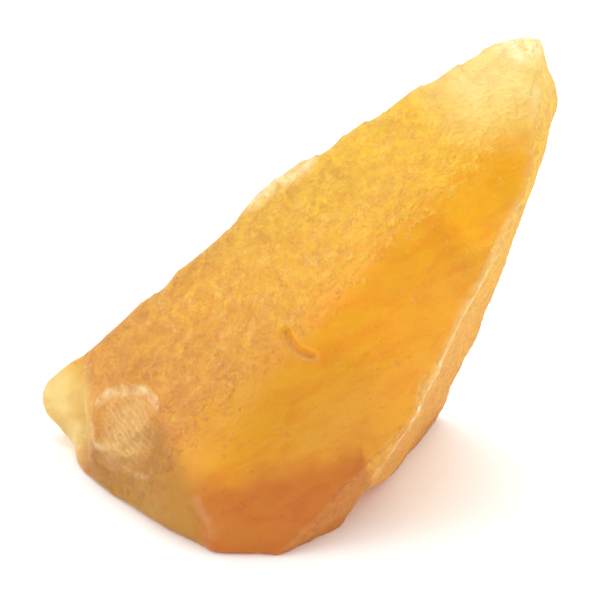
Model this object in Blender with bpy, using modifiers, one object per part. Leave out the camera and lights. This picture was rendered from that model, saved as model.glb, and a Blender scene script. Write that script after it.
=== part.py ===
"""Fluorite specimen: one broken lump of cloudy crystal, standing on a flat cleavage face.

Sizes are in millimetres and are turned into metres where a mesh is made. x runs along
the lump from its low left end to the overhanging point, y from its broad front to its
back, and z up from the surface that it stands on.
"""

import math

import bmesh
import bpy
from mathutils import Matrix, Vector

MM = 0.001

# The lump starts as convex blocks that overlap. They run on below the ground, to BELOW,
# and the cut at z = 0 leaves the one flat face that the lump stands on.
BELOW = -2.0
BASE_RIM = [
    (-11.0, -16.3, BELOW),
    (-2.8, -16.5, BELOW),
    (5.6, -10.9, BELOW),
    (12.4, 0.4, BELOW),
    (18.9, 12.2, BELOW),
    (9.0, 20.6, BELOW),
    (-14.0, 19.4, BELOW),
    (-26.6, 8.0, BELOW),
    (-26.6, -2.0, BELOW),
]
LOWEST_EDGE = [
    (-28.6, -0.8, 1.0),
    (-26.1, -4.1, 1.0),
    (-20.9, -9.2, 1.0),
    (-16.4, -13.1, 1.0),
    (-11.2, -17.6, 1.0),
    (-7.6, -18.0, 1.0),
    (-2.9, -18.0, 0.8),
    (1.8, -15.1, 0.8),
    (5.7, -12.0, 0.8),
    (17.9, 9.3, 0.8),
    (20.0, 13.0, 1.4),
]
LEFT_WALL_EDGE = [
    (-29.4, 5.0, 9.0),
    (-27.7, -1.9, 6.6),
    (-22.8, -7.0, 6.4),
    (-13.2, -16.6, 6.9),
]
LOWER_FRONT_EDGE = [
    (-12.2, -17.1, 8.3),
    (-4.8, -16.5, 10.4),
    (1.3, -15.4, 12.1),
    (8.2, -13.6, 14.2),
]
SOFT_RIDGE = [
    (-14.7, -10.2, 15.6),
    (-1.1, -9.3, 27.4),
    (5.4, -9.0, 33.2),
    (12.4, -5.8, 40.5),
    (20.6, -3.8, 48.4),
    (27.2, -0.6, 54.5),
]
SIDE_CREASE = [
    (8.4, -11.4, 6.8),
    (14.3, -12.5, 17.9),
    (17.5, -10.5, 26.4),
    (19.9, -9.6, 32.4),
    (23.1, -7.9, 37.5),
    (25.8, -6.7, 41.8),
    (28.1, -5.4, 47.0),
    (28.9, -0.6, 55.7),
]
FAR_RIDGE = [
    (-28.9, 6.7, 14.8),
    (-28.1, 7.0, 16.4),
    (-25.6, 7.2, 18.6),
    (-21.1, 7.6, 22.9),
    (-16.3, 8.0, 27.2),
    (-9.7, 9.4, 32.9),
    (6.4, 9.9, 47.0),
    (17.5, 8.5, 53.8),
    (21.8, 8.2, 57.4),
]
POINT = [
    (25.1, 7.7, 62.0),
    (29.4, 7.7, 62.2),
    (30.0, 6.4, 58.8),
    (31.3, 6.2, 56.0),
    (32.2, 6.0, 51.9),
    (31.6, 6.6, 47.5),
]
RIGHT_EDGE = [
    (28.4, 10.6, 30.2),
    (23.6, 12.2, 20.0),
    (22.3, 13.4, 7.9),
    (21.6, 13.6, 2.2),
]
BACK = [
    (-24.0, 15.6, 8.0),
    (-13.0, 17.5, 17.0),
    (4.0, 18.5, 24.0),
    (15.0, 18.0, 21.0),
    (20.5, 14.5, 36.0),
]
BLOCKS = {
    "body": BASE_RIM + LOWEST_EDGE + LEFT_WALL_EDGE + LOWER_FRONT_EDGE + SOFT_RIDGE
    + SIDE_CREASE + FAR_RIDGE + POINT + RIGHT_EDGE + BACK,
    "shoulder": [
        (-8.9, 9.6, 33.9),
        (-7.7, 10.2, 35.9),
        (-4.9, 10.8, 38.9),
        (6.4, 9.9, 47.1),
        (-3.2, 7.6, 37.2),
        (3.0, 6.6, 41.0),
        (0.0, 13.0, 36.0),
        (-7.0, 12.5, 30.0),
        (8.0, 12.0, 40.0),
        (0.0, 4.0, 30.0),
    ],
    "left_plate": [
        (-35.9, 9.4, 6.1),
        (-35.2, 10.2, 8.4),
        (-31.6, 8.6, 12.4),
        (-28.6, 7.6, 15.3),
        (-35.2, 8.4, 4.0),
        (-31.4, 5.4, 0.8),
        (-34.0, 13.5, 5.0),
        (-28.5, 15.0, 10.5),
        (-24.0, 5.0, 9.0),
        (-22.0, 13.0, 13.0),
        (-22.0, 4.0, 0.0),
        (-25.0, 14.5, 1.0),
    ],
    "left_foot": [
        (-31.0, 4.8, 3.6),
        (-30.8, 2.6, 1.0),
        (-30.2, 3.0, BELOW),
        (-31.0, 9.0, BELOW),
        (-28.8, -0.9, 1.0),
        (-26.6, -0.6, BELOW),
        (-22.0, 2.0, BELOW),
        (-22.0, 12.0, BELOW),
        (-22.0, 8.0, 6.0),
        (-31.0, 10.0, 4.0),
    ],
}
# A wedge that broke out of the front foot, under the side face: its inner edge runs back
# and down from the foot of the crease.
FOOT_NOTCH = [
    (2.7, -17.8, -3.0),
    (4.0, -12.2, -3.0),
    (8.2, 3.4, -3.0),
    (24.0, 8.8, -3.0),
    (24.0, -20.0, -3.0),
    (7.6, -17.1, 8.2),
    (8.2, -15.2, 8.0),
    (24.0, -10.2, 8.0),
    (24.0, -20.0, 8.0),
]

# Cleavage ledges. Each takes a flat layer off one face, on one side of a riser: a spot on
# the face where the riser starts, the way the ledge runs from its riser, and its depth.
LEDGES = {
    "back_upper": ((14.0, 15.5, 35.0), (0.75, -0.1, 0.66), 1.6),
    "back_middle": ((3.0, 18.2, 23.0), (0.62, -0.1, 0.78), 1.3),
    "back_low": ((2.0, 20.0, 9.0), (0.45, 0.1, -0.88), 1.7),
    "back_left": ((-17.0, 18.0, 10.0), (-0.9, -0.4, 0.2), 1.5),
    "side_low": ((19.0, 2.5, 12.0), (0.3, 0.3, -0.9), 1.1),
    "side_edge": ((25.5, 6.5, 30.0), (0.2, 0.95, 0.1), 0.7),
}
# Shell-shaped chips, longer than they are wide: a spot on or near the surface, how wide a
# ball matches the hollow (its radius), how deep the hollow goes, and the turn of its long
# axis about the way the surface faces, in degrees.
CHIPS = {
    "end_shell": ((-23.0, -3.0, 12.4), 7.0, 1.5, 60),
    "end_shell_low": ((-20.0, -7.2, 9.4), 6.0, 1.2, 60),
    "end_foot": ((-25.4, -3.8, 3.4), 5.0, 0.6, 0),
    "front_bevel": ((-12.9, -16.6, 4.5), 5.0, 0.7, 90),
    "front_dimple": ((-2.3, -9.3, 26.6), 1.8, 0.5, 30),
    "front_foot": ((3.5, -13.2, 1.5), 5.0, 0.6, 20),
    "ridge_low": ((-18.5, 7.8, 25.0), 6.0, 0.6, 0),
    "ridge_middle": ((9.5, 9.8, 48.9), 6.0, 0.3, 0),
    "ridge_high": ((17.8, 8.7, 54.4), 4.0, 0.4, 0),
    "point_front": ((25.6, 4.4, 58.9), 4.0, 0.4, 70),
    "point_side": ((30.3, 6.4, 57.6), 3.0, 0.5, 70),
    "crease_high": ((28.7, -3.4, 51.4), 4.6, 0.6, 10),
    "crease_middle": ((24.4, -7.4, 39.6), 5.0, 0.7, 80),
    "crease_low": ((16.0, -11.6, 22.2), 6.0, 0.7, 100),
    "side_shell": ((22.4, 3.0, 22.0), 9.0, 0.8, 40),
    "side_foot": ((14.5, -3.0, 7.0), 8.0, 0.7, 20),
    "right_hollow": ((25.4, 12.2, 22.0), 10.0, 1.0, 90),
    "back_shell": ((-8.0, 19.5, 8.0), 8.0, 1.6, 25),
    "back_shell_high": ((7.0, 13.4, 40.0), 8.0, 1.6, 35),
    "back_shell_edge": ((22.6, 14.6, 30.0), 8.0, 1.2, 75),
    "back_pit": ((9.0, 19.5, 15.0), 2.2, 0.8, 0),
    "back_foot": ((12.0, 20.0, 3.0), 8.0, 1.2, 10),
    "plate_edge": ((-34.8, 12.0, 4.6), 4.0, 0.6, 50),
    "plate_back": ((-29.0, 15.4, 7.0), 5.0, 0.8, 20),
    "shoulder_chip": ((2.0, 12.6, 39.0), 4.0, 0.7, 0),
}
CHIP_STRETCH = 1.9
BALL_FACETS = 2
NEARBY = [(1.0, 0, 0), (0, 1.0, 0), (0, 0, 1.0)]
# Long enough for a ledge's cutter to reach past the lump, and for the ground to pass it.
LEDGE_CUTTER = 44.0
GROUND_CUTTER = 150.0

# Rounding of the edges, and the gentle unevenness of every broken face: how far apart the
# swells are, and how far they stand above and below the face at most.
ROUNDING_CELL = 0.4
SWELLS = {"broad_swell": (9.0, 0.4), "fine_swell": (3.4, 0.2)}
TRIANGLES = 8600

HONEY = (0.86, 0.48, 0.13)
ROUGHNESS = 0.35
FLUORITE_IOR = 1.434


def clear_scene():
    for obj in list(bpy.data.objects):
        bpy.data.objects.remove(obj)


def link_mesh(name, shape, collection):
    """Makes an object of a bmesh shape, facing out."""
    bmesh.ops.recalc_face_normals(shape, faces=shape.faces)
    mesh = bpy.data.meshes.new(name)
    shape.to_mesh(mesh)
    shape.free()
    obj = bpy.data.objects.new(name, mesh)
    collection.objects.link(obj)
    return obj


def block(name, corners, collection):
    """The convex block with these corners."""
    shape = bmesh.new()
    for corner in corners:
        shape.verts.new(Vector(corner) * MM)
    made = bmesh.ops.convex_hull(shape, input=shape.verts, use_existing_faces=False)
    spare = {e for e in made["geom_interior"] if isinstance(e, bmesh.types.BMVert)}
    bmesh.ops.delete(shape, geom=list(spare), context="VERTS")
    return link_mesh(name, shape, collection)


def surface_at(stone, spot):
    """The place on the lump nearest a spot, and the way it faces, averaged over an edge."""
    steps = [Vector(step) for step in NEARBY] + [-Vector(step) for step in NEARBY]
    place, facing = Vector(), Vector()
    for step in steps:
        _, near, normal, _ = stone.closest_point_on_mesh((Vector(spot) + step) * MM)
        place += near / len(steps)
        facing += normal
    return place, facing.normalized()


def chip_cutter(name, stone, spot, radius, depth, turn, collection):
    place, facing = surface_at(stone, spot)
    centre = place + facing * (radius - depth) * MM
    lie = facing.to_track_quat("Z", "Y").to_matrix().to_4x4()
    lie = lie @ Matrix.Rotation(math.radians(turn), 4, "Z")
    shape = bmesh.new()
    bmesh.ops.create_icosphere(
        shape,
        subdivisions=BALL_FACETS,
        radius=radius * MM,
        matrix=Matrix.Translation(centre) @ lie @ Matrix.Diagonal((CHIP_STRETCH, 1, 1, 1)),
    )
    return link_mesh(name, shape, collection)


def ledge_cutter(name, stone, spot, runs, depth, collection):
    place, out = surface_at(stone, spot)
    away = Vector(runs)
    away = (away - away.dot(out) * out).normalized()
    along = away.cross(out)
    size = LEDGE_CUTTER * MM
    centre = place + (size / 2 - depth * MM) * out + (size / 2) * away
    turn = Matrix((along, away, out)).transposed().to_4x4()
    shape = bmesh.new()
    bmesh.ops.create_cube(shape, size=size, matrix=Matrix.Translation(centre) @ turn)
    return link_mesh(name, shape, collection)


def boolean(stone, operation, collection):
    """Joins or cuts everything in a collection and makes the result the lump's own mesh."""
    step = stone.modifiers.new(operation.lower(), "BOOLEAN")
    step.operation = operation
    step.operand_type = "COLLECTION"
    step.collection = collection
    step.solver = "EXACT"
    apply_modifiers(stone)
    for obj in list(collection.objects):
        bpy.data.objects.remove(obj)


def apply_modifiers(stone):
    bpy.context.view_layer.objects.active = stone
    for step in list(stone.modifiers):
        bpy.ops.object.modifier_apply(modifier=step.name)


def swell(stone, name, wavelength, depth):
    """Raises and sinks the faces gently, by up to this depth each way."""
    clouds = bpy.data.textures.new(name, "CLOUDS")
    clouds.noise_scale = wavelength * MM
    clouds.noise_depth = 1
    step = stone.modifiers.new(name, "DISPLACE")
    step.texture = clouds
    step.texture_coords = "LOCAL"
    step.mid_level = 0.5
    step.strength = 2 * depth * MM


def crystal_material():
    material = bpy.data.materials.new("cloudy_fluorite")
    material.use_nodes = True
    shader = material.node_tree.nodes["Principled BSDF"]
    shader.inputs["Base Color"].default_value = (*HONEY, 1)
    shader.inputs["Roughness"].default_value = ROUGHNESS
    shader.inputs["Metallic"].default_value = 0
    shader.inputs["IOR"].default_value = FLUORITE_IOR
    material.diffuse_color = (*HONEY, 1)
    return material


def main():
    clear_scene()
    part = bpy.data.collections.new("fluorite_specimen")
    work = bpy.data.collections.new("joined_and_cut")
    for collection in (part, work):
        bpy.context.scene.collection.children.link(collection)

    stone = block("crystal", BLOCKS["body"], part)
    for name, corners in BLOCKS.items():
        if name != "body":
            block(name, corners, work)
    boolean(stone, "UNION", work)

    for name, (spot, runs, depth) in LEDGES.items():
        ledge_cutter(name, stone, spot, runs, depth, work)
    for name, (spot, radius, depth, turn) in CHIPS.items():
        chip_cutter(name, stone, spot, radius, depth, turn, work)
    block("foot_notch", FOOT_NOTCH, work)
    boolean(stone, "DIFFERENCE", work)

    rounding = stone.modifiers.new("rounding", "REMESH")
    rounding.mode = "VOXEL"
    rounding.voxel_size = ROUNDING_CELL * MM
    for name, (wavelength, depth) in SWELLS.items():
        swell(stone, name, wavelength, depth)
    apply_modifiers(stone)
    thin = stone.modifiers.new("thin", "DECIMATE")
    thin.ratio = TRIANGLES / (2 * len(stone.data.polygons))
    apply_modifiers(stone)

    size = GROUND_CUTTER * MM
    shape = bmesh.new()
    bmesh.ops.create_cube(shape, size=size, matrix=Matrix.Translation((0, 0, -size / 2)))
    link_mesh("ground", shape, work)
    boolean(stone, "DIFFERENCE", work)

    corners = [Vector(corner) for corner in stone.bound_box]
    middle = (corners[0] + corners[6]) / 2
    stone.data.transform(Matrix.Translation((-middle.x, -middle.y, 0)))
    stone.data.materials.append(crystal_material())
    bpy.data.collections.remove(work)


main()
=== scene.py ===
"""A rough lump of cloudy amber fluorite on a pale floor, in soft studio light.

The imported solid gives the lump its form. A finer copy of it stands in its place, with worn
edges and with the etched pebbling, streaks, cleavage ledges and shell-shaped ripples that are
too small for the solid. Lengths are in millimetres until MM turns them to metres.
"""

import math

import bpy
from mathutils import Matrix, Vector
from mathutils.geometry import intersect_point_line


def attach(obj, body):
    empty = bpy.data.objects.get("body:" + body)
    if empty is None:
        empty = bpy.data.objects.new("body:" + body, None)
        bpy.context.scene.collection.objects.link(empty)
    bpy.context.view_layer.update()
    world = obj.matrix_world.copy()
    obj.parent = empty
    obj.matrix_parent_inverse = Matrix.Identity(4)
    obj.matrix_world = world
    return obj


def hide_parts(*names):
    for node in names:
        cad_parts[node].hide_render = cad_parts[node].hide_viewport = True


MM = 0.001

# The fine copy: the gap within which the solid's loose corners merge, the grid that it is
# remade on, and how often its facets are smoothed.
MERGE_GAP = 0.01
GRID = 0.34
FACET_SMOOTHING = 5

# The ways the main faces look, and how squarely a face has to look that way to be etched.
BROAD_FACE = (-0.6, -0.45, 0.67)
SIDE_FACE = (0.92, -0.33, -0.25)
BACK_FACE = (-0.1, 0.93, 0.35)
FRONT_FACE = (0.12, -0.97, 0.2)
LEAST_SQUARE = 0.6
FULLY_SQUARE = 0.88

# The etching of the broad face stops at a line that runs up along the lump: a point on it,
# the way across it onto the broad face, and how far it fades. It ends at the plate as well.
ETCH_LIMIT = (-12.8, -11.2, 15.7)
ETCH_SIDE = (-0.42, 0.87, 0.25)
ETCH_LIMIT_FADE = (-3.5, 2.5)
PLATE_FADE = (-29.0, -26.5)

# The ridge between the broad and the front face is worn round, and so, less, is the top
# edge of the broad face: their lines, how far the wear reaches, and its rounds of smoothing.
SOFT_RIDGE = [(-13.2, -18.0, 10.9), (28.8, -5.3, 52.8)]
RIDGE_WEAR = (9.0, 350)
TOP_EDGE = [
    (-23.9, 6.6, 18.6),
    (-12.4, 7.6, 28.6),
    (-5.4, 9.3, 35.9),
    (1.8, 9.2, 42.0),
    (14.9, 6.4, 51.4),
    (25.3, 5.7, 59.6),
]
TOP_EDGE_WEAR = (4.5, 70)

# The crease between the front and the side face is bruised where it is sharp, and has a thin
# pale line all along it; both are chipped wear and also a painted highlight of the crease. The
# rim of the low left wall is bruised too, but less, and is partly a painted highlight as well.
SIDE_CREASE = [
    (10.2, -12.1, 6.8),
    (16.9, -12.4, 18.3),
    (19.2, -11.4, 24.2),
    (22.6, -9.8, 32.4),
    (25.9, -7.6, 38.8),
    (28.6, -6.8, 44.8),
    (29.9, -6.1, 47.0),
    (30.7, -1.3, 55.7),
]
LEFT_RIM = [
    (-27.6, 4.3, 9.0),
    (-25.9, -2.6, 6.6),
    (-21.0, -7.7, 6.4),
    (-11.4, -17.3, 6.9),
]
RIM_WIDTH = 1.9
LEFT_RIM_SHARE = 0.5
CREASE_WIDTH = 0.9
CREASE_SHARE = 0.55
# Two worn bevels: a pale one on the top edge, and a faint one up from the left front foot.
TOP_BEVEL = [(-4.6, 9.6, 37.0), (-1.4, 9.6, 39.8), (2.2, 9.2, 42.3)]
TOP_BEVEL_WIDTH = 2.8
FOOT_BEVEL = [(-11.4, -16.8, 7.5), (-10.8, -17.1, 6.1), (-9.8, -17.8, 4.7), (-9.1, -18.1, 3.0)]
FOOT_BEVEL_WIDTH = 1.0
FOOT_BEVEL_SHARE = 0.25
# The broken rim of the shell-shaped break, painted pale along its top as a ring highlight, and
# a crescent dimple where the broad face ends, painted deeper amber in its groove as shade.
SHELL_RIM_HIGHLIGHT = [
    (-25.0, -0.1, 11.3),
    (-23.6, -0.4, 12.8),
    (-21.2, -1.2, 13.9),
    (-18.8, -2.5, 14.8),
    (-17.2, -4.7, 14.9),
    (-16.5, -6.4, 14.6),
]
SHELL_HIGHLIGHT_WIDTH = 1.0
SHELL_HIGHLIGHT_SHARE = 0.75
DIMPLE = [(-0.1, -9.1, 27.6), (0.6, -10.2, 26.7), (1.6, -11.6, 26.2), (3.3, -12.2, 25.9)]
DIMPLE_WIDTH = 0.8
DIMPLE_DEPTH = 0.6
# How far the surface turns outward from one vertex to the next on a soft and a sharp crest.
SOFT_CREST = 0.06
SHARP_CREST = 0.2
# The bruised, whitened end of the point: its centre and radius.
BRUISED_POINT = ((28.4, 4.0, 61.0), 4.0)
# The paler, lemon ends of the lump, the point and the plate on the left, and how much of their
# lemon the granular faces go without.
PALE_ENDS = [((26.2, 3.6, 61.5), 15.0), ((-31.4, 5.2, 5.8), 9.5)]
GRANULAR_LOSS = 0.65
# The inner part of a spot and of a line, as a share of its reach, where its mark is full.
SPOT_CORE = 0.5
LINE_CORE = 0.4

# Relief: the distance between its marks, its height from foot to top, and, where it is
# drawn out along a line, that line and how many times longer than wide its marks are.
SWELLS = (5.0, 0.1)
ETCH_SCALES = (0.9, 0.2)
ETCH_PITS = (0.6, 0.14)
STREAKS = (0.9, 0.12)
STREAK_LINE = (0.87, 0.1, 0.42)
STREAK_STRETCH = 5
# An etched scale slopes up from its edges: how far the next scale is, less how far its own
# middle is.
SCALE_WEIGHTS = {"weight_1": -1, "weight_2": 1}
# Cleavage ledges across the back, the line that they are set along, and how much they wander.
LEDGES = (4.5, 0.6)
LEDGE_LINE = (0.8, 0.1, 0.6)
LEDGE_TURBULENCE = 8
# The shell-shaped break on the left end: its centre, its reach, its rings and its steps, the
# line that the steps are set along, and the way the break looks.
SHELL_CENTRE = (-20.8, -4.0, 10.0)
SHELL_REACH = 6.4
SHELL_RINGS = (1.7, 0.24)
SHELL_STEPS = (0.8, 0.11)
SHELL_STEP_LINE = (0.65, 0.22, 0.73)
SHELL_FACING = (-0.6, -0.5, 0.62)
# How many of a wood texture's rings and bands fit in one unit of its own space.
RINGS_PER_UNIT = 20 / math.tau
BANDS_PER_UNIT = 10 * math.sqrt(3) / math.tau
# The period of a wave texture of scale 1, in metres.
WAVE_PERIOD = math.tau / 20
# The middle of a pattern's values.
MIDDLE = 0.5

# Clear amber in depth: what it lets through, colour by colour, and how fast it takes up the
# rest, for each metre.
FLUORITE_IOR = 1.434
AMBER_TINT = (0.985, 0.883, 0.02)
AMBER_DENSITY = 150
# Tints of the surface layer. On smooth faces it is amber, with veils of deeper amber, and the
# same deeper amber is painted into the dimple as shade. On etched ones it is honey, deeper in
# its hollows, with iron stain in the furrows and pale flecks. The root is painted browner and
# darker as painted shade, partly its dusty brown, and the left foot is painted olive as a
# painted reflection of the shaded floor. The ends are lemon, the side face and the
# shell-shaped break are peach, and bruises are nearly white, partly as painted edge highlights.
CLEAR = "#FFFFFF"
AMBER = "#FFC81C"
VEIL_AND_DIMPLE_SHADE_AMBER = "#FAB416"
ETCHED_HONEY = "#FFDC28"
DEEP_HONEY = "#F0A63A"
IRON_STAIN = "#C8842C"
PALE_FLECK = "#FFDA84"
BASE_SHADE_BROWN = "#D8B27A"
SHADED_FLOOR_OLIVE = "#CACC9C"
LEMON = "#FFEA94"
BROKEN_PEACH = "#F6CC7C"
BRUISE_AND_HIGHLIGHT_WHITE = "#FFF0C0"
# The root's painted shade fades out at a top that rises to the right by a tilt and ends at
# the notch. The olive painted reflection fades out around a point. The honey gets paler
# between two heights.
ROOT_FADE = (9.6, 14.0)
ROOT_TILT = 0.235
ROOT_END = {"From Min": 9.5 * MM, "From Max": 12.5 * MM}
OLIVE_SHADE_CENTRE = (-20.0, -11.0, 2.0)
OLIVE_SHADE_FADE = (9.0, 13.5)
HONEY_RISE = {"From Min": 16.0 * MM, "From Max": 40.0 * MM}
RISE_SHARE = 0.6
# The patterns, as noise: one over the spacing of its marks, the finer layers on them and how
# far they are swirled. Real etching also has a grain that is too fine to show, so it is drawn
# coarser, at a bit over half a millimetre.
ROOT_EDGE = {"Scale": 1 / (6.0 * MM)}
RAGGED_EDGE = {"Scale": 1 / (1.2 * MM), "Detail": 4}
CRUMBLE = {"Scale": 1 / (1.1 * MM), "Detail": 4}
PEBBLES = {"Scale": 1 / (0.9 * MM), "Detail": 5, "Distortion": 0.8}
FURROWS = {"Scale": 1 / (1.3 * MM), "Detail": 5}
STAIN_PATCHES = {"Scale": 1 / (3.0 * MM)}
FLECKS = {"Scale": 1 / (1.3 * MM), "Detail": 3, "Distortion": 1.5}
VEILS = {"Scale": 1 / (1.9 * MM), "Detail": 4, "Distortion": 0.8}
HAZE_PATCHES = {"Scale": 1 / (1.5 * MM)}
GRAIN = {"Scale": 1 / (0.55 * MM), "Detail": 3}
# The fine steps of the shell-shaped break, as a wave, and how long the veils are drawn out.
STEP_WAVE = {"Scale": WAVE_PERIOD / (SHELL_STEPS[0] * MM), "Detail": 3, "Distortion": 5.0}
VEIL_STRETCH = 2.6
# How those patterns are cut: the values between which each goes from none to full, and what
# none and full stand for where they aren't 0 and 1.
ROOT_UNEVENNESS = {"From Min": 0.3, "From Max": 0.7, "To Min": -1 * MM, "To Max": 1 * MM}
RAGGEDNESS = {"From Min": 0.3, "From Max": 0.7, "To Min": -0.5, "To Max": 0.5}
ETCHED_CUT = {"From Min": 0.3, "From Max": 0.7}
CRUMBLE_CUT = {"From Min": 0.2, "From Max": 0.75}
PEBBLE_CUT = {"From Min": 0.38, "From Max": 0.62}
FURROW_CUT = {"From Min": 0.05, "From Max": 0.0}
STAIN_CUT = {"From Min": 0.42, "From Max": 0.6}
FLECK_CUT = {"From Min": 0.54, "From Max": 0.66, "To Max": 0.5}
VEIL_CUT = {"From Min": 0.45, "From Max": 0.68}
STEP_CUT = {"From Min": 0.6, "From Max": 1.0, "To Max": 0.4}
# Shares: of stain in the furrows, on the broad face and on granular ones; of stain specks on
# granular faces, in the hollows and on the pebbles; of lemon, outside and inside the stained
# patches; and of peach on the shell-shaped break and on the side face.
STAIN_SHARE = {"To Min": 0.45, "To Max": 0.55}
SPECK_SHARE = {"To Min": 0.45, "To Max": 0.0}
LEMON_SHARE = {"To Min": 1.0, "To Max": 0.75}
SHELL_TINT = 0.7
SIDE_TINT = 0.3
# How much light the surface layer scatters back: on smooth faces, from thin to thick etching,
# and what bruises, the side face, the shell-shaped break and the pale ends add.
SMOOTH_HAZE = 0.42
ETCHED_HAZE = {"From Min": 0.35, "From Max": 0.65, "To Min": 0.36, "To Max": 0.54}
BRUISE_HAZE = 0.32
SIDE_HAZE = 0.18
SHELL_HAZE = 0.1
PALE_END_HAZE = 0.12
# Roughness and grit, from smooth to etched faces, what the side face adds to the roughness,
# and the height of the grain.
ROUGHNESS = {"To Min": 0.3, "To Max": 0.4}
SIDE_ROUGHNESS = 0.4
GRIT = {"To Min": 0.3, "To Max": 1.0}
GRAIN_HEIGHT = 0.35
# The attributes that say how much of each mark every vertex carries.
MARKS = ("etched", "granular", "side", "dimple", "wear_and_highlight", "pale_end", "shell")
# The sockets of a Mix node that mixes colours: its share, its two colours and their mix.
SHARE = 0
FIRST = 6
SECOND = 7
MIXED = 2

# The floor, in metres and as paint.
FLOOR_SIZE = 4
FLOOR_WHITE = "#F8F8F7"
FLOOR_ROUGHNESS = 0.9
FLOOR_SHEEN = 0.1
# The white room's light, and the dimmer light from the side that the lump is looked at from:
# that side, and the cosines of the angles around it between which the light dims.
WHITE = (1, 1, 1, 1)
ROOM_LIGHT = 1.45
DIM_LIGHT = 0.5
DIM_SIDE = (0.0, -0.87, 0.5)
DIM_EDGE = {"From Min": 0.55, "From Max": 0.95}
# The soft boxes: where they hang, how wide they are and their watts.
TOP_BOX = ((30, 90, 450), 450, 0.8)
LEFT_BOX = ((-380, -60, 260), 240, 0.26)

# The camera: its lens, its sensor, the nearest and the farthest things that it shows, in
# metres, and the point that it looks at, with how steeply, in degrees, and from how far.
LENS = 110
SENSOR = 36
NEAREST = 0.01
FARTHEST = 10
LOOK_AT = (1.8, -0.7, 27.3)
LOOK_DOWN = 30
CAMERA_DISTANCE = 234.7


def linear(hex_colour):
    """An sRGB hex value as the linear colour that the shaders take."""
    parts = [int(hex_colour[i : i + 2], 16) / 255 for i in (1, 3, 5)]
    return [p / 12.92 if p <= 0.04045 else ((p + 0.055) / 1.055) ** 2.4 for p in parts] + [1]


def add_node(tree, kind, inputs=None, output=0, **settings):
    """Adds a node with its settings, sets or links its inputs and gives one of its outputs.

    Sockets go by name, or by place where some share a name."""
    node = tree.nodes.new("ShaderNode" + kind)
    for name, value in settings.items():
        setattr(node, name, value)
    for name, value in (inputs or {}).items():
        if isinstance(value, bpy.types.NodeSocket):
            tree.links.new(value, node.inputs[name])
        else:
            node.inputs[name].default_value = value
    return node.outputs[output] if node.outputs else node


def select_only(obj):
    bpy.ops.object.select_all(action="DESELECT")
    obj.select_set(True)
    bpy.context.view_layer.objects.active = obj


def apply_modifiers(obj):
    select_only(obj)
    for step in list(obj.modifiers):
        bpy.ops.object.modifier_apply(modifier=step.name)


def fine_lump(node):
    """A finer copy of the solid, with its loose triangles merged and its facets smoothed."""
    lump = bpy.data.objects.new("crystal_lump", node.data.copy())
    bpy.context.scene.collection.objects.link(lump)
    select_only(lump)
    bpy.ops.object.mode_set(mode="EDIT")
    bpy.ops.mesh.select_all(action="SELECT")
    bpy.ops.mesh.remove_doubles(threshold=MERGE_GAP * MM)
    bpy.ops.object.mode_set(mode="OBJECT")
    remake = lump.modifiers.new("fine_grid", "REMESH")
    remake.mode = "VOXEL"
    remake.voxel_size = GRID * MM
    remake.use_smooth_shade = True
    smooth = lump.modifiers.new("facets", "SMOOTH")
    smooth.iterations = FACET_SMOOTHING
    apply_modifiers(lump)
    return lump


def share_between(value, least, most):
    """0 below least, 1 above most, and in proportion between."""
    return min(max((value - least) / (most - least), 0), 1)


def facing_shares(obj, *directions):
    """For each vertex, how squarely it faces the nearest of some directions, from 0 to 1."""
    ways = [Vector(d).normalized() for d in directions]
    squareness = [max(v.normal.dot(way) for way in ways) for v in obj.data.vertices]
    return [share_between(s, LEAST_SQUARE, FULLY_SQUARE) for s in squareness]


def broad_etching(obj):
    """For each vertex, how much of the broad face's etching it carries, from 0 to 1."""
    limit, across = Vector(ETCH_LIMIT) * MM, Vector(ETCH_SIDE).normalized()
    near, far = (fade * MM for fade in ETCH_LIMIT_FADE)
    plate, body = (fade * MM for fade in PLATE_FADE)
    shares = facing_shares(obj, BROAD_FACE)
    for index, v in enumerate(obj.data.vertices):
        shares[index] *= share_between((v.co - limit).dot(across), near, far)
        shares[index] *= share_between(v.co.x, plate, body)
    return shares


def near_shares(obj, *spots):
    """For each vertex, how near it is to one of some spots, each a centre and a radius."""
    spheres = [(Vector(centre) * MM, radius * MM) for centre, radius in spots]
    shares = []
    for v in obj.data.vertices:
        each = [share_between((v.co - c).length, r, r * SPOT_CORE) for c, r in spheres]
        shares.append(max(each))
    return shares


def along_shares(obj, points, reach):
    """For each vertex, how near it is to a line through some points, from 0 to 1."""
    line = [Vector(point) * MM for point in points]
    shares = []
    for v in obj.data.vertices:
        gap = reach * MM
        for start, end in zip(line, line[1:]):
            foot, along = intersect_point_line(v.co, start, end)
            foot = start if along < 0 else end if along > 1 else foot
            gap = min(gap, (v.co - foot).length)
        shares.append(share_between(gap, reach * MM, LINE_CORE * reach * MM))
    return shares


def crest_shares(obj):
    """For each vertex, how sharply the surface turns outward there, from 0 to 1."""
    verts = obj.data.vertices
    turns = [0.0] * len(verts)
    for edge in obj.data.edges:
        a, b = (verts[index] for index in edge.vertices)
        turn = (b.normal - a.normal).dot((b.co - a.co).normalized())
        turns[a.index] = max(turns[a.index], turn)
        turns[b.index] = max(turns[b.index], turn)
    return [share_between(turn, SOFT_CREST, SHARP_CREST) for turn in turns]


def vertex_group(obj, name, shares):
    group = obj.vertex_groups.new(name=name)
    for index, share in enumerate(shares):
        if share:
            group.add([index], share, "REPLACE")
    return name


def surface_attribute(obj, name, shares):
    obj.data.attributes.new(name, "FLOAT", "POINT").data.foreach_set("value", shares)


def wear_along(obj, name, line, reach, rounds):
    """Rounds an edge, as handling and weather would."""
    wear = obj.modifiers.new(name, "SMOOTH")
    wear.iterations = rounds
    wear.vertex_group = vertex_group(obj, name, along_shares(obj, line, reach))
    apply_modifiers(obj)


def turn_onto(line, axis=(1, 0, 0)):
    """The turn that brings an axis onto a line."""
    return Vector(axis).rotation_difference(Vector(line)).to_euler()


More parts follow.
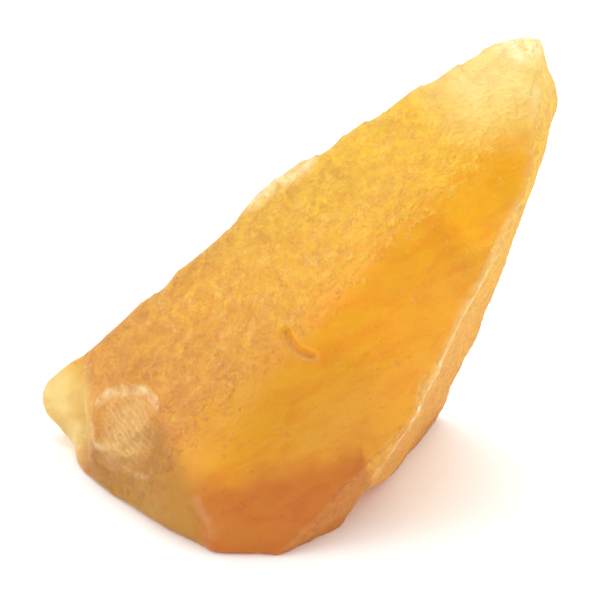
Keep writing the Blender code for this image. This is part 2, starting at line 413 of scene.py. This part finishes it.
def guide(turn, place=(0, 0, 0), stretch=1.0, size=1.0):
    """An empty whose own space places a relief, turns it, sizes it and draws it out along X."""
    empty = bpy.data.objects.new("guide", None)
    bpy.context.scene.collection.objects.link(empty)
    empty.location = Vector(place) * MM
    empty.rotation_euler = turn
    empty.scale = (stretch * size, size, size)
    bpy.context.view_layer.update()
    return empty


def relief(obj, name, kind, spacing, height, group=None, along=None, **settings):
    """Raises and sinks the surface by a pattern, within a group and along a guide.

    A wood pattern takes its spacing from the size of its guide."""
    texture = bpy.data.textures.new(name, kind)
    if kind != "WOOD":
        texture.noise_scale = spacing * MM
    for key, value in settings.items():
        setattr(texture, key, value)
    step = obj.modifiers.new(name, "DISPLACE")
    step.texture = texture
    step.texture_coords = "OBJECT" if along else "LOCAL"
    if along:
        step.texture_coords_object = along
    step.mid_level = MIDDLE
    step.strength = height * MM
    if group:
        step.vertex_group = group


def roughen(obj, etched, smooth, dimple, shell):
    """Relief too fine for the solid: swells, etching, streaks, ledges, the shell, the dimple."""
    etched_group = vertex_group(obj, "etched", etched)
    smooth_group = vertex_group(obj, "smooth", smooth)
    shell_group = vertex_group(obj, "shell", shell)
    ledge_group = vertex_group(obj, "ledged", facing_shares(obj, BACK_FACE))
    streak_guide = guide(turn_onto(STREAK_LINE), stretch=STREAK_STRETCH)
    ledge_size = LEDGES[0] * MM * BANDS_PER_UNIT
    ledge_guide = guide(turn_onto(LEDGE_LINE, (1, 1, 1)), size=ledge_size)
    ring_size = SHELL_RINGS[0] * MM * RINGS_PER_UNIT
    ring_guide = guide(turn_onto(SHELL_FACING, (0, 0, 1)), SHELL_CENTRE, size=ring_size)
    step_size = SHELL_STEPS[0] * MM * BANDS_PER_UNIT
    step_guide = guide(turn_onto(SHELL_STEP_LINE, (1, 1, 1)), SHELL_CENTRE, size=step_size)
    relief(obj, "swells", "CLOUDS", *SWELLS)
    relief(obj, "scales", "VORONOI", *ETCH_SCALES, group=etched_group, **SCALE_WEIGHTS)
    relief(obj, "pits", "CLOUDS", *ETCH_PITS, group=etched_group)
    relief(obj, "streaks", "CLOUDS", *STREAKS, group=smooth_group, along=streak_guide)
    relief(
        obj,
        "ledges",
        "WOOD",
        *LEDGES,
        ledge_group,
        ledge_guide,
        turbulence=LEDGE_TURBULENCE,
        wood_type="BANDNOISE",
        noise_basis_2="SAW",
    )
    relief(obj, "rings", "WOOD", *SHELL_RINGS, shell_group, ring_guide, wood_type="RINGS")
    relief(obj, "steps", "WOOD", *SHELL_STEPS, shell_group, step_guide, noise_basis_2="SAW")
    press = obj.modifiers.new("dimple", "DISPLACE")
    press.vertex_group = vertex_group(obj, "dimple", dimple)
    press.mid_level = 0
    press.strength = -DIMPLE_DEPTH * MM
    apply_modifiers(obj)
    for empty in (streak_guide, ledge_guide, ring_guide, step_guide):
        bpy.data.objects.remove(empty)
    obj.vertex_groups.clear()


def base_shade_and_reflection(tree, place):
    """Tint by place: painted shade, in brown, at the root, and at one foot an olive painted
    reflection of the shaded floor.
    """
    axes = add_node(tree, "SeparateXYZ", {"Vector": place}).node.outputs
    lift = add_node(tree, "TexNoise", {"Vector": place, **ROOT_EDGE})
    lift = add_node(tree, "MapRange", {"Value": lift, **ROOT_UNEVENNESS})
    height = add_node(tree, "Math", {0: axes["Z"], 1: lift}, operation="ADD")
    height = add_node(
        tree, "Math", {0: axes["X"], 1: -ROOT_TILT, 2: height}, operation="MULTIPLY_ADD"
    )
    past_root = add_node(tree, "MapRange", {"Value": axes["X"], **ROOT_END})
    height = add_node(
        tree, "Math", {0: past_root, 1: ROOT_FADE[1] * MM, 2: height}, operation="MULTIPLY_ADD"
    )
    gap = add_node(
        tree,
        "VectorMath",
        {0: place, 1: Vector(OLIVE_SHADE_CENTRE) * MM},
        output="Value",
        operation="DISTANCE",
    )
    colour = linear(CLEAR)
    for value, fade, tint in ((height, ROOT_FADE, BASE_SHADE_BROWN), (gap, OLIVE_SHADE_FADE, SHADED_FLOOR_OLIVE)):
        share = add_node(
            tree,
            "MapRange",
            {"Value": value, "From Min": fade[1] * MM, "From Max": fade[0] * MM},
            interpolation_type="SMOOTHSTEP",
        )
        colour = add_node(
            tree,
            "Mix",
            {SHARE: share, FIRST: colour, SECOND: linear(tint)},
            MIXED,
            data_type="RGBA",
        )
    return colour


def etched_honey(tree, place, granular, patch):
    """Pebbles of paler and deeper honey, with iron stain in wavy furrows and pale flecks."""
    pebble = add_node(tree, "TexNoise", {"Vector": place, **PEBBLES})
    pebble = add_node(tree, "MapRange", {"Value": pebble, **PEBBLE_CUT})
    axes = add_node(tree, "SeparateXYZ", {"Vector": place}).node.outputs
    rise = add_node(tree, "MapRange", {"Value": axes["Z"], **HONEY_RISE})
    paleness = add_node(tree, "Mix", {"Factor": RISE_SHARE, "A": pebble, "B": rise})
    furrow = add_node(tree, "TexNoise", {"Vector": place, **FURROWS})
    furrow = add_node(tree, "Math", {0: furrow, 1: MIDDLE}, operation="SUBTRACT")
    furrow = add_node(tree, "Math", {0: furrow}, operation="ABSOLUTE")
    furrow = add_node(tree, "MapRange", {"Value": furrow, **FURROW_CUT})
    stain = add_node(tree, "Math", {0: furrow, 1: patch}, operation="MULTIPLY")
    stain_share = add_node(tree, "MapRange", {"Value": granular, **STAIN_SHARE})
    stain = add_node(tree, "Math", {0: stain, 1: stain_share}, operation="MULTIPLY")
    speck = add_node(tree, "MapRange", {"Value": pebble, **SPECK_SHARE})
    stain = add_node(tree, "Math", {0: granular, 1: speck, 2: stain}, operation="MULTIPLY_ADD")
    fleck = add_node(tree, "TexNoise", {"Vector": place, **FLECKS})
    fleck = add_node(tree, "MapRange", {"Value": fleck, **FLECK_CUT})
    fleck = add_node(tree, "Math", {0: fleck, 1: patch}, operation="MULTIPLY")
    colour = linear(DEEP_HONEY)
    for share, tint in ((paleness, ETCHED_HONEY), (stain, IRON_STAIN), (fleck, PALE_FLECK)):
        colour = add_node(
            tree,
            "Mix",
            {SHARE: share, FIRST: colour, SECOND: linear(tint)},
            MIXED,
            data_type="RGBA",
        )
    return colour


def veiled_amber_with_dimple_shade(tree, place, dimple):
    """Amber with soft veils of deeper amber, drawn out along the streaks.

    The same deeper amber in the dimple is painted shade in its groove.
    """
    along = add_node(
        tree,
        "Mapping",
        {"Vector": place, "Rotation": turn_onto(STREAK_LINE), "Scale": (VEIL_STRETCH, 1, 1)},
        vector_type="TEXTURE",
    )
    veil = add_node(tree, "TexNoise", {"Vector": along, **VEILS})
    veil = add_node(tree, "MapRange", {"Value": veil, **VEIL_CUT})
    # The dimple takes the deeper amber too: painted shade in its groove.
    veil = add_node(tree, "Math", {0: veil, 1: dimple}, operation="MAXIMUM")
    return add_node(
        tree,
        "Mix",
        {SHARE: veil, FIRST: linear(AMBER), SECOND: linear(VEIL_AND_DIMPLE_SHADE_AMBER)},
        MIXED,
        data_type="RGBA",
    )


def shell_step_lines(tree, place, shell, crumble):
    """The pale, crumbling crests of the fine steps in the shell-shaped break."""
    across = add_node(
        tree,
        "Mapping",
        {"Vector": place, "Rotation": turn_onto(SHELL_STEP_LINE)},
        vector_type="TEXTURE",
    )
    steps = add_node(tree, "TexWave", {"Vector": across, **STEP_WAVE})
    steps = add_node(tree, "MapRange", {"Value": steps, **STEP_CUT})
    steps = add_node(tree, "Math", {0: steps, 1: crumble}, operation="MULTIPLY")
    return add_node(tree, "Math", {0: steps, 1: shell}, operation="MULTIPLY")


def amber_fluorite():
    """Amber fluorite, broken and etched: see-through in depth, with satin, pebbled faces."""
    material = bpy.data.materials.new("amber_fluorite")
    material.use_nodes = True
    tree = material.node_tree
    tree.nodes.clear()
    place = add_node(tree, "TexCoord", output="Object")
    marks = [add_node(tree, "Attribute", output="Fac", attribute_name=mark) for mark in MARKS]
    etched, granular, side, dimple, wear_and_highlight, pale_end, shell = marks

    # The etching ends in a ragged edge, bruises crumble, and the lemon of the ends is patchy.
    ragged = add_node(tree, "TexNoise", {"Vector": place, **RAGGED_EDGE})
    ragged = add_node(tree, "MapRange", {"Value": ragged, **RAGGEDNESS})
    etched = add_node(tree, "Math", {0: etched, 1: ragged}, operation="ADD")
    etched = add_node(tree, "MapRange", {"Value": etched, **ETCHED_CUT})
    crumble = add_node(tree, "TexNoise", {"Vector": place, **CRUMBLE})
    crumble = add_node(tree, "MapRange", {"Value": crumble, **CRUMBLE_CUT})
    wear_and_highlight = add_node(tree, "Math", {0: wear_and_highlight, 1: crumble}, operation="MULTIPLY")
    steps = shell_step_lines(tree, place, shell, crumble)
    wear_and_highlight = add_node(tree, "Math", {0: wear_and_highlight, 1: steps}, operation="MAXIMUM")
    patch = add_node(tree, "TexNoise", {"Vector": place, **STAIN_PATCHES})
    patch = add_node(tree, "MapRange", {"Value": patch, **STAIN_CUT})
    lemon_share = add_node(tree, "MapRange", {"Value": patch, **LEMON_SHARE})
    pale_end = add_node(tree, "Math", {0: pale_end, 1: lemon_share}, operation="MULTIPLY")
    peach = add_node(tree, "Math", {0: side, 1: SIDE_TINT}, operation="MULTIPLY")
    peach = add_node(tree, "Math", {0: shell, 1: SHELL_TINT, 2: peach}, operation="MULTIPLY_ADD")

    # Amber or honey, with painted shade and a painted floor reflection near the base, and on top
    # the paler tints of broken and bruised spots, which are partly painted edge highlights.
    amber = veiled_amber_with_dimple_shade(tree, place, dimple)
    honey = etched_honey(tree, place, granular, patch)
    colour = add_node(
        tree, "Mix", {SHARE: etched, FIRST: amber, SECOND: honey}, MIXED, data_type="RGBA"
    )
    colour = add_node(
        tree,
        "Mix",
        {SHARE: 1, FIRST: colour, SECOND: base_shade_and_reflection(tree, place)},
        MIXED,
        data_type="RGBA",
        blend_type="MULTIPLY",
    )
    # Nearly white bruises on top: chipped wear, partly painted edge highlights.
    for share, tint in ((peach, BROKEN_PEACH), (pale_end, LEMON), (wear_and_highlight, BRUISE_AND_HIGHLIGHT_WHITE)):
        colour = add_node(
            tree,
            "Mix",
            {SHARE: share, FIRST: colour, SECOND: linear(tint)},
            MIXED,
            data_type="RGBA",
        )

    # The haze scatters light at the surface and hides the depth.
    haze = add_node(tree, "TexNoise", {"Vector": place, **HAZE_PATCHES})
    haze = add_node(tree, "MapRange", {"Value": haze, **ETCHED_HAZE})
    haze = add_node(tree, "MapRange", {"Value": etched, "To Min": SMOOTH_HAZE, "To Max": haze})
    for share, added in (
        (wear_and_highlight, BRUISE_HAZE),
        (side, SIDE_HAZE),
        (shell, SHELL_HAZE),
        (pale_end, PALE_END_HAZE),
    ):
        haze = add_node(tree, "Math", {0: share, 1: added, 2: haze}, operation="MULTIPLY_ADD")
    clarity = add_node(tree, "Math", {0: 1, 1: haze}, operation="SUBTRACT", use_clamp=True)

    # Satin faces, rougher where they are etched, with a fine grain in them.
    roughness = add_node(tree, "MapRange", {"Value": etched, **ROUGHNESS})
    roughness = add_node(
        tree, "Math", {0: side, 1: SIDE_ROUGHNESS, 2: roughness}, operation="MULTIPLY_ADD"
    )
    grain = add_node(tree, "TexNoise", {"Vector": place, **GRAIN})
    grit = add_node(tree, "MapRange", {"Value": etched, **GRIT})
    grain = add_node(tree, "Math", {0: grain, 1: grit}, operation="MULTIPLY")
    bump = add_node(tree, "Bump", {"Height": grain, "Distance": GRAIN_HEIGHT * MM})
    surface = add_node(
        tree,
        "BsdfPrincipled",
        {
            "Base Color": colour,
            "Roughness": roughness,
            "IOR": FLUORITE_IOR,
            "Transmission Weight": clarity,
            "Normal": bump,
        },
    )
    depth = add_node(
        tree, "VolumeAbsorption", {"Color": (*AMBER_TINT, 1), "Density": AMBER_DENSITY}
    )
    add_node(tree, "OutputMaterial", {"Surface": surface, "Volume": depth})
    return material


def floor():
    """Matt white board: pale and nearly without sheen, so the lump's amber glow lies on it."""
    bpy.ops.object.select_all(action="DESELECT")
    bpy.ops.mesh.primitive_plane_add(size=FLOOR_SIZE)
    plane = bpy.context.object
    plane.name = "floor"
    material = bpy.data.materials.new("matt_white_board")
    material.use_nodes = True
    shader = material.node_tree.nodes["Principled BSDF"]
    shader.inputs["Base Color"].default_value = linear(FLOOR_WHITE)
    shader.inputs["Roughness"].default_value = FLOOR_ROUGHNESS
    shader.inputs["Specular IOR Level"].default_value = FLOOR_SHEEN
    plane.data.materials.append(material)


def soft_light(name, place, size, power):
    """A square soft box that shines at the lump."""
    lamp = bpy.data.lights.new(name, "AREA")
    lamp.size = size * MM
    lamp.energy = power
    obj = bpy.data.objects.new(name, lamp)
    obj.location = Vector(place) * MM
    aim = Vector(LOOK_AT) * MM - obj.location
    obj.rotation_euler = aim.to_track_quat("-Z", "Y").to_euler()
    bpy.context.scene.collection.objects.link(obj)


def lights():
    """A white room that is dimmer in front, a wide soft box above and a weak one at the left."""
    world = bpy.data.worlds.new("white_room")
    bpy.context.scene.world = world
    world.use_nodes = True
    tree = world.node_tree
    way = add_node(tree, "TexCoord", output="Generated")
    toward = add_node(
        tree,
        "VectorMath",
        {0: way, 1: Vector(DIM_SIDE).normalized()},
        output="Value",
        operation="DOT_PRODUCT",
    )
    strength = add_node(
        tree, "MapRange", {"Value": toward, **DIM_EDGE, "To Min": ROOM_LIGHT, "To Max": DIM_LIGHT}
    )
    background = tree.nodes["Background"]
    background.inputs["Color"].default_value = WHITE
    tree.links.new(strength, background.inputs["Strength"])
    soft_light("top_box", *TOP_BOX)
    soft_light("left_box", *LEFT_BOX)


def camera():
    """A camera with a long lens, in front of the lump and above it."""
    lens = bpy.data.cameras.new("camera")
    lens.lens = LENS
    lens.sensor_width = SENSOR
    lens.clip_start = NEAREST
    lens.clip_end = FARTHEST
    obj = bpy.data.objects.new("camera", lens)
    down = math.radians(LOOK_DOWN)
    away = Vector((0, -math.cos(down), math.sin(down)))
    obj.location = (Vector(LOOK_AT) + away * CAMERA_DISTANCE) * MM
    obj.rotation_euler = (math.pi / 2 - down, 0, 0)
    bpy.context.scene.collection.objects.link(obj)
    bpy.context.scene.camera = obj


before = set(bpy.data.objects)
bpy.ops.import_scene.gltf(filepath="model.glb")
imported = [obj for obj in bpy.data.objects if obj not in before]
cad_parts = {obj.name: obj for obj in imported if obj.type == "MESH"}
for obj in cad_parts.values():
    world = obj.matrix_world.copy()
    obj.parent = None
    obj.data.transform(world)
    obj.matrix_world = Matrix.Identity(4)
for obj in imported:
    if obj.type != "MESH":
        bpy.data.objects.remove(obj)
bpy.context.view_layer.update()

lump = fine_lump(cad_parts["crystal"])
wear_along(lump, "soft_ridge", SOFT_RIDGE, *RIDGE_WEAR)
wear_along(lump, "top_edge", TOP_EDGE, *TOP_EDGE_WEAR)

# Each vertex's marks, which the relief and the material go by.
granular = facing_shares(lump, SIDE_FACE, BACK_FACE)
etched = [max(shares) for shares in zip(broad_etching(lump), granular)]
dimple = along_shares(lump, DIMPLE, DIMPLE_WIDTH)
crests = crest_shares(lump)
side_crease = along_shares(lump, SIDE_CREASE, RIM_WIDTH)
left_rim = along_shares(lump, LEFT_RIM, RIM_WIDTH)
# Pale bruises of crests, rims, bevels and the point: chipped wear, partly painted edge
# highlights.
bruises_and_highlights = [
    [crest * near for crest, near in zip(crests, side_crease)],
    [CREASE_SHARE * share for share in along_shares(lump, SIDE_CREASE, CREASE_WIDTH)],
    [LEFT_RIM_SHARE * crest * near for crest, near in zip(crests, left_rim)],
    [SHELL_HIGHLIGHT_SHARE * share for share in along_shares(lump, SHELL_RIM_HIGHLIGHT, SHELL_HIGHLIGHT_WIDTH)],
    along_shares(lump, TOP_BEVEL, TOP_BEVEL_WIDTH),
    [FOOT_BEVEL_SHARE * share for share in along_shares(lump, FOOT_BEVEL, FOOT_BEVEL_WIDTH)],
    near_shares(lump, BRUISED_POINT),
]
wear_and_highlight = [max(shares) for shares in zip(*bruises_and_highlights)]
pale_end = [
    near * (1 - GRANULAR_LOSS * grains)
    for near, grains in zip(near_shares(lump, *PALE_ENDS), granular)
]
side = facing_shares(lump, SIDE_FACE)
shell = near_shares(lump, (SHELL_CENTRE, SHELL_REACH))
for mark, shares in zip(MARKS, (etched, granular, side, dimple, wear_and_highlight, pale_end, shell)):
    surface_attribute(lump, mark, shares)

roughen(lump, etched, facing_shares(lump, FRONT_FACE), dimple, shell)
lump.data.materials.clear()
lump.data.materials.append(amber_fluorite())
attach(lump, "root")
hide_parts("crystal")

floor()
lights()
camera()
bpy.context.scene.view_settings.view_transform = "Standard"
